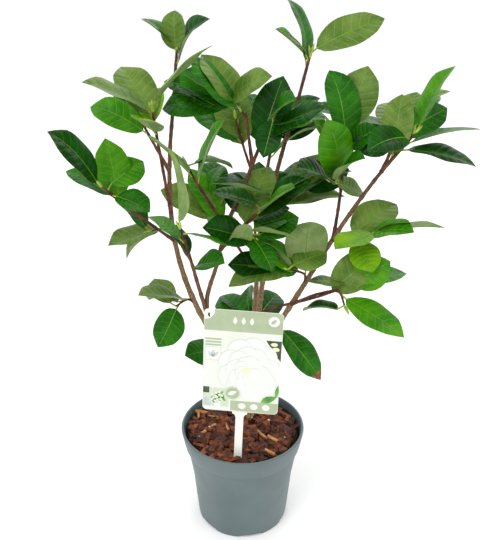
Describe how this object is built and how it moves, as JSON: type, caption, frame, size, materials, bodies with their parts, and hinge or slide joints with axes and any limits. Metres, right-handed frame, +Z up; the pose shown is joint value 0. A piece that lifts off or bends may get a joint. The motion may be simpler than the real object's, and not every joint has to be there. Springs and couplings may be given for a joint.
{
  "type": "camellia shrub in a nursery pot",
  "caption": "Young evergreen shrub with slim upright stems and glossy oval leaves, growing in a round tapered plastic pot of bark-topped compost, with a plain care label on a stake.",
  "frame": {"origin": "centre of the pot's flat underside, on the pot's axis", "axes": "+Z up along the pot's axis, -Y towards the side that the care label faces, +X to the label's right as it is read"},
  "size_m": [0.4235, 0.2608, 0.618],
  "materials": {
    "pot": "matte moulded plastic, blue-grey",
    "compost": "moist compost topped with red-brown bark chips",
    "bark": "thin smooth bark, tan on the trunk and red-brown on young stems",
    "foliage": "thick glossy dark green leaves with paler matt undersides",
    "label": "printed white plastic card with sage green bands"
  },
  "bodies": {
    "root": {"bough_back": "bark", "bough_back_left": "bark", "bough_back_middle": "bark", "bough_back_right": "bark", "bough_centre": "bark", "bough_far_left": "bark", "bough_far_right": "bark", "bough_left": "bark", "bough_low_back": "bark", "bough_low_centre": "bark", "bough_lower_right": "bark", "bough_right": "bark", "bough_upper_centre": "bark", "bough_upper_left": "bark", "bough_upper_middle": "bark", "bough_upper_right": "bark", "compost": "compost", "label_card": "label", "label_stake": "label", "leaves_back_left": "foliage", "leaves_back_middle": "foliage", "leaves_back_right": "foliage", "leaves_back_top": "foliage", "leaves_back_upper": "foliage", "leaves_centre": "foliage", "leaves_centre_low": "foliage", "leaves_centre_right": "foliage", "leaves_crown_top": "foliage", "leaves_far_left": "foliage", "leaves_far_right": "foliage", "leaves_left": "foliage", "leaves_left_front": "foliage", "leaves_left_low": "foliage", "leaves_left_middle": "foliage", "leaves_low_back": "foliage", "leaves_low_centre": "foliage", "leaves_low_right": "foliage", "leaves_lower_left": "foliage", "leaves_lower_right": "foliage", "leaves_lowest_left": "foliage", "leaves_right": "foliage", "leaves_right_low": "foliage", "leaves_right_middle": "foliage", "leaves_top_left": "foliage", "leaves_upper_centre": "foliage", "leaves_upper_centre_left": "foliage", "leaves_upper_left": "foliage", "leaves_upper_middle": "foliage", "leaves_upper_right": "foliage", "pot": "pot", "stem_back": "bark", "stem_centre": "bark", "stem_front_left": "bark", "stem_left": "bark", "stem_middle": "bark", "stem_right": "bark", "stem_top": "bark", "trunk": "bark"}
  },
  "joints": []
}
